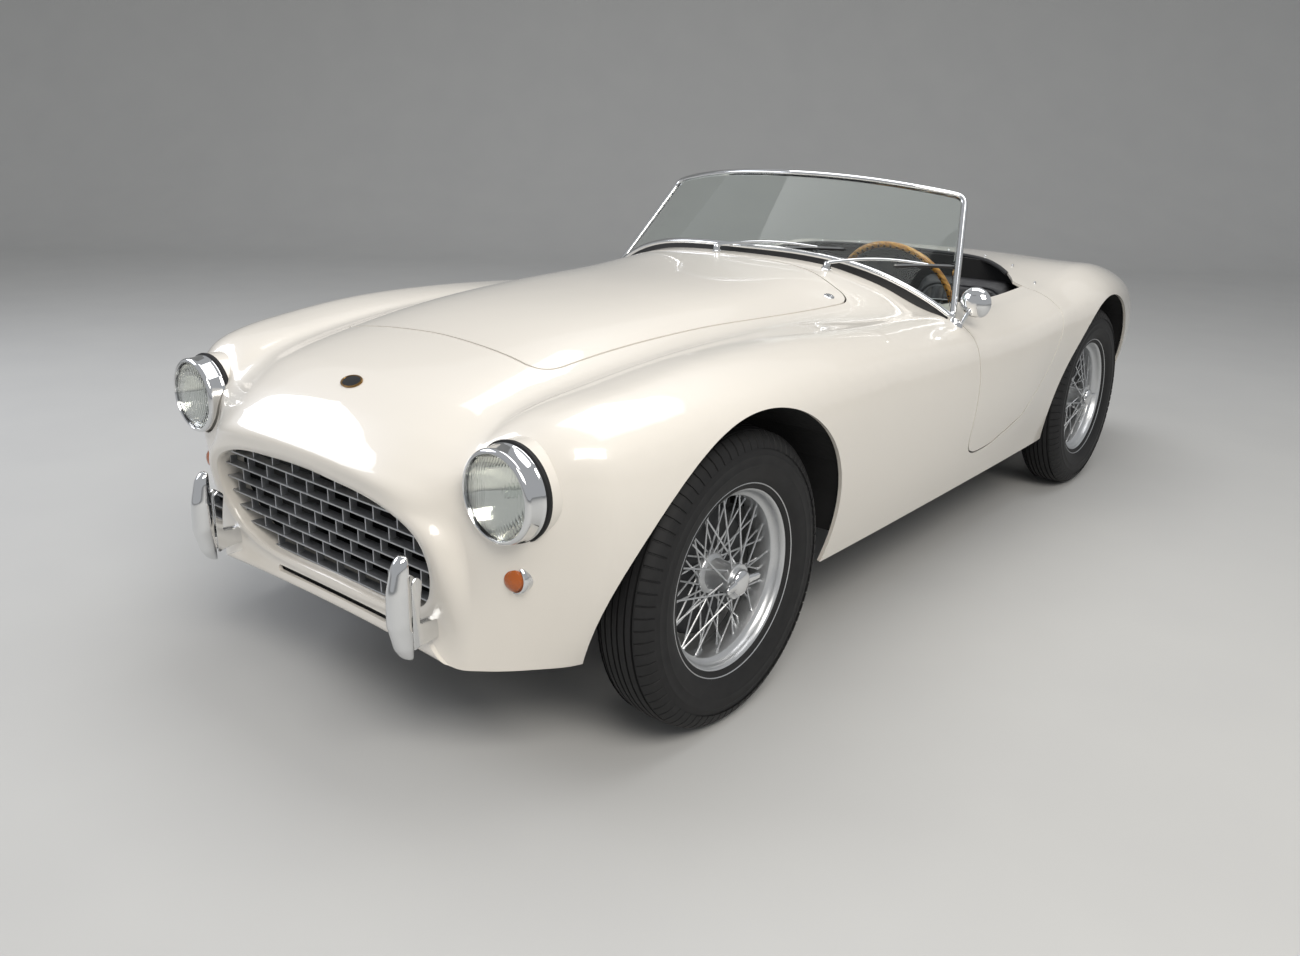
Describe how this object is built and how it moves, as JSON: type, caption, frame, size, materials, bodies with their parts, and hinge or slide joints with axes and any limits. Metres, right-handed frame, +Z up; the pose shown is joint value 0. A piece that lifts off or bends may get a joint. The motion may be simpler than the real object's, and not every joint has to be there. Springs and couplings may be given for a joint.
{
  "type": "roadster car",
  "caption": "Open two-seat roadster with rounded wings, an oval egg-crate grille, wire wheels, opening doors, bonnet and boot, and coupled front steering.",
  "frame": {"origin": "on the ground under the middle of the overall length and width", "axes": "+X to the car's left, -Y forward, +Z up"},
  "size_m": [1.493, 3.848, 1.1581],
  "materials": {
    "body_paint": "gloss ivory paint",
    "black_steel": "black chassis paint",
    "cast_iron": "as cast",
    "chrome": "polished",
    "grille_metal": "satin",
    "clear_glass": "clear",
    "reflector": "silvered",
    "amber_lens": "amber",
    "red_lens": "red",
    "leather": "black pleated leather",
    "dash_black": "black covering",
    "rim_wood": "varnished",
    "wheel_silver": "silver paint",
    "black_plastic": "black",
    "tyre_rubber": "rubber",
    "drum_alloy": "machined and painted"
  },
  "bodies": {
    "car": {"bonnet_hinge_pins": "black_steel", "boot_hinge_pins": "black_steel", "chassis_frame": "black_steel", "dashboard": "dash_black", "engine": "cast_iron", "exhaust": "black_steel", "final_drive": "black_steel", "floor": "black_steel", "front_body": "body_paint", "front_overriders": "chrome", "front_suspension": "black_steel", "gear_lever": "black_plastic", "grille": "grille_metal", "headlamp_bowls": "reflector", "headlamp_lenses": "clear_glass", "headlamp_rims": "chrome", "indicators": "amber_lens", "mirror": "chrome", "propeller_shaft": "black_steel", "radiator": "black_steel", "rear_body": "body_paint", "rear_overriders": "chrome", "rear_suspension": "black_steel", "rear_uprights": "black_steel", "seat_backs": "leather", "seat_bases": "black_steel", "seat_cushions": "leather", "sills": "body_paint", "steering_column": "black_steel", "tail_lamps": "red_lens", "wheel_liners": "black_steel", "windscreen_frame": "chrome", "windscreen_glass": "clear_glass", "wipers": "chrome"},
    "bonnet": {"bonnet": "body_paint"},
    "boot_lid": {"boot_lid": "body_paint"},
    "door_left": {"door_left": "body_paint"},
    "door_right": {"door_right": "body_paint"},
    "steering_wheel": {"steering_wheel": "rim_wood"},
    "track_rod": {"track_rod": "black_steel"},
    "knuckle_left": {"knuckle_left": "black_steel"},
    "knuckle_right": {"knuckle_right": "black_steel"},
    "wheel_fl": {"tyre_fl": "tyre_rubber", "wire_wheel_fl": "wheel_silver", "brake_drum_fl": "drum_alloy"},
    "wheel_fr": {"tyre_fr": "tyre_rubber", "wire_wheel_fr": "wheel_silver", "brake_drum_fr": "drum_alloy"},
    "wheel_rl": {"tyre_rl": "tyre_rubber", "wire_wheel_rl": "wheel_silver", "brake_drum_rl": "drum_alloy"},
    "wheel_rr": {"tyre_rr": "tyre_rubber", "wire_wheel_rr": "wheel_silver", "brake_drum_rr": "drum_alloy"}
  },
  "joints": [
    {"name": "bonnet_hinge", "type": "hinge", "parent": "car", "child": "bonnet", "pos_m": [0, -1.582, 0.75662], "axis": [1, 0, 0], "range_deg": [0, 55]},
    {"name": "boot_lid_hinge", "type": "hinge", "parent": "car", "child": "boot_lid", "pos_m": [0, 0.893, 0.83093], "axis": [1, 0, 0], "range_deg": [0, 65]},
    {"name": "door_left_hinge", "type": "hinge", "parent": "car", "child": "door_left", "pos_m": [0.753, -0.104, 0.6], "axis": [0, 0, -1], "range_deg": [0, 65]},
    {"name": "door_right_hinge", "type": "hinge", "parent": "car", "child": "door_right", "pos_m": [-0.753, -0.104, 0.6], "axis": [0, 0, 1], "range_deg": [0, 65]},
    {"name": "steer_left", "type": "hinge", "parent": "car", "child": "knuckle_left", "pos_m": [0.53, -1.252, 0.337], "axis": [0, 0, 1], "range_deg": [-30, 30]},
    {"name": "steer_right", "type": "hinge", "parent": "car", "child": "knuckle_right", "pos_m": [-0.53, -1.252, 0.337], "axis": [0, 0, 1], "range_deg": [-30, 30]},
    {"name": "steering_wheel_turn", "type": "hinge", "parent": "car", "child": "steering_wheel", "pos_m": [0.35, 0.086, 0.777], "axis": [0, 0.9063, 0.4226], "range_deg": [-360, 360]},
    {"name": "rack_slide", "type": "slide", "parent": "car", "child": "track_rod", "axis": [1, 0, 0], "range_m": [-0.0734, 0.0734]},
    {"name": "wheel_fl_spin", "type": "hinge", "parent": "knuckle_left", "child": "wheel_fl", "pos_m": [0.635, -1.252, 0.337], "axis": [1, 0, 0], "continuous": true},
    {"name": "wheel_fr_spin", "type": "hinge", "parent": "knuckle_right", "child": "wheel_fr", "pos_m": [-0.635, -1.252, 0.337], "axis": [1, 0, 0], "continuous": true},
    {"name": "wheel_rl_spin", "type": "hinge", "parent": "car", "child": "wheel_rl", "pos_m": [0.635, 1.034, 0.337], "axis": [1, 0, 0], "continuous": true},
    {"name": "wheel_rr_spin", "type": "hinge", "parent": "car", "child": "wheel_rr", "pos_m": [-0.635, 1.034, 0.337], "axis": [1, 0, 0], "continuous": true}
  ],
  "couplings": [
    {"joint": "steer_right", "follows": "steer_left", "ratio": 1},
    {"joint": "steering_wheel_turn", "follows": "steer_left", "ratio": 12},
    {"joint": "rack_slide", "follows": "steer_left", "m_per_rad": 0.14}
  ]
}
